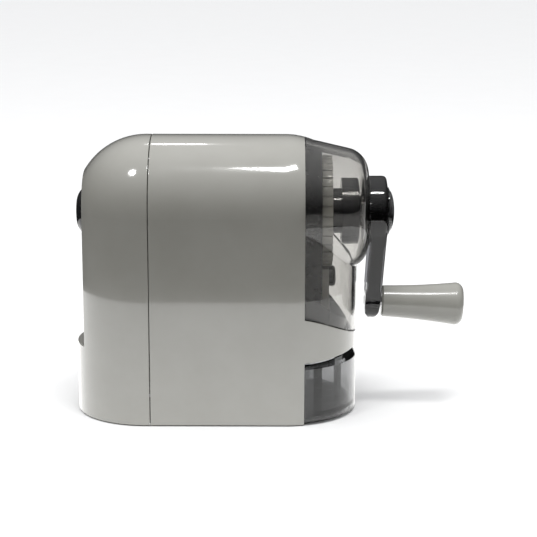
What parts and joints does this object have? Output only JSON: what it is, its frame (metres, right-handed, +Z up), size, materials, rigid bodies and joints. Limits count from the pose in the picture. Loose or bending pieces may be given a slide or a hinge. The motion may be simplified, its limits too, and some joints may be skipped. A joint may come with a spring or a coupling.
{
  "type": "pencil sharpener",
  "caption": "Desk pencil sharpener with a hand crank, a helical cutter inside, a smoked cover and a pull-out shavings drawer.",
  "frame": {"origin": "centre of the rubber pad's underside, on the surface that it stands on", "axes": "+X along the shaft from the pencil's end to the crank, +Z up, +Y completes a right-handed frame"},
  "size_m": [0.1632, 0.06, 0.117],
  "materials": {
    "grey_plastic": "glossy moulded, warm grey",
    "light_grey_plastic": "moulded, light grey",
    "smoked_clear_plastic": "clear, smoked",
    "dark_smoked_plastic": "glossy, dark smoke",
    "black_plastic": "moulded black",
    "rubber": "matt",
    "steel": "bright",
    "cast_zinc": "as cast",
    "tool_steel": "ground and hardened",
    "bronze": "sintered, oiled"
  },
  "bodies": {
    "housing": {"front_shell": "grey_plastic", "main_shell": "grey_plastic", "gear_cover": "smoked_clear_plastic", "base_plate": "black_plastic", "anti_slip_pad": "rubber", "base_screws": "steel", "shell_screws": "steel", "inlet_bezel": "black_plastic", "guide_tube": "black_plastic", "pencil_collet": "steel", "cutter_housing": "black_plastic", "ring_gear": "cast_zinc", "frame_plate": "black_plastic", "frame_screws": "steel", "mounting_collar": "light_grey_plastic", "latch_bracket": "light_grey_plastic", "collar_latch": "dark_smoked_plastic", "bearing_housing": "dark_smoked_plastic", "bearing_bush": "bronze", "chamber_floor": "dark_smoked_plastic", "shavings_chute": "black_plastic", "drawer_rails": "black_plastic"},
    "crank": {"crank_arm": "dark_smoked_plastic", "crank_cap": "dark_smoked_plastic", "crank_screw": "steel", "drive_shaft": "steel", "retaining_clip": "steel", "thrust_washer": "steel", "cutter_carrier": "cast_zinc", "carrier_pin": "steel", "cutter_axle": "steel", "grip_pin": "steel"},
    "cutter": {"helical_cutter": "tool_steel", "cutter_pinion": "tool_steel"},
    "grip": {"crank_grip": "grey_plastic"},
    "drawer": {"shavings_drawer": "smoked_clear_plastic", "drawer_latch": "dark_smoked_plastic"}
  },
  "joints": [
    {"name": "crank_spin", "type": "hinge", "parent": "housing", "child": "crank", "pos_m": [0, 0, 0.085], "axis": [1, 0, 0], "continuous": true},
    {"name": "cutter_spin", "type": "hinge", "parent": "crank", "child": "cutter", "pos_m": [0.018, 0, 0.0911], "axis": [0.9833, 0, -0.1822], "continuous": true},
    {"name": "grip_spin", "type": "hinge", "parent": "crank", "child": "grip", "pos_m": [0.066, 0, 0.0464], "axis": [0.9993, 0, -0.0384], "continuous": true},
    {"name": "drawer_slide", "type": "slide", "parent": "housing", "child": "drawer", "axis": [1, 0, 0], "range_m": [0, 0.085]}
  ],
  "couplings": [
    {"joint": "cutter_spin", "follows": "crank_spin", "ratio": -3.2143}
  ]
}
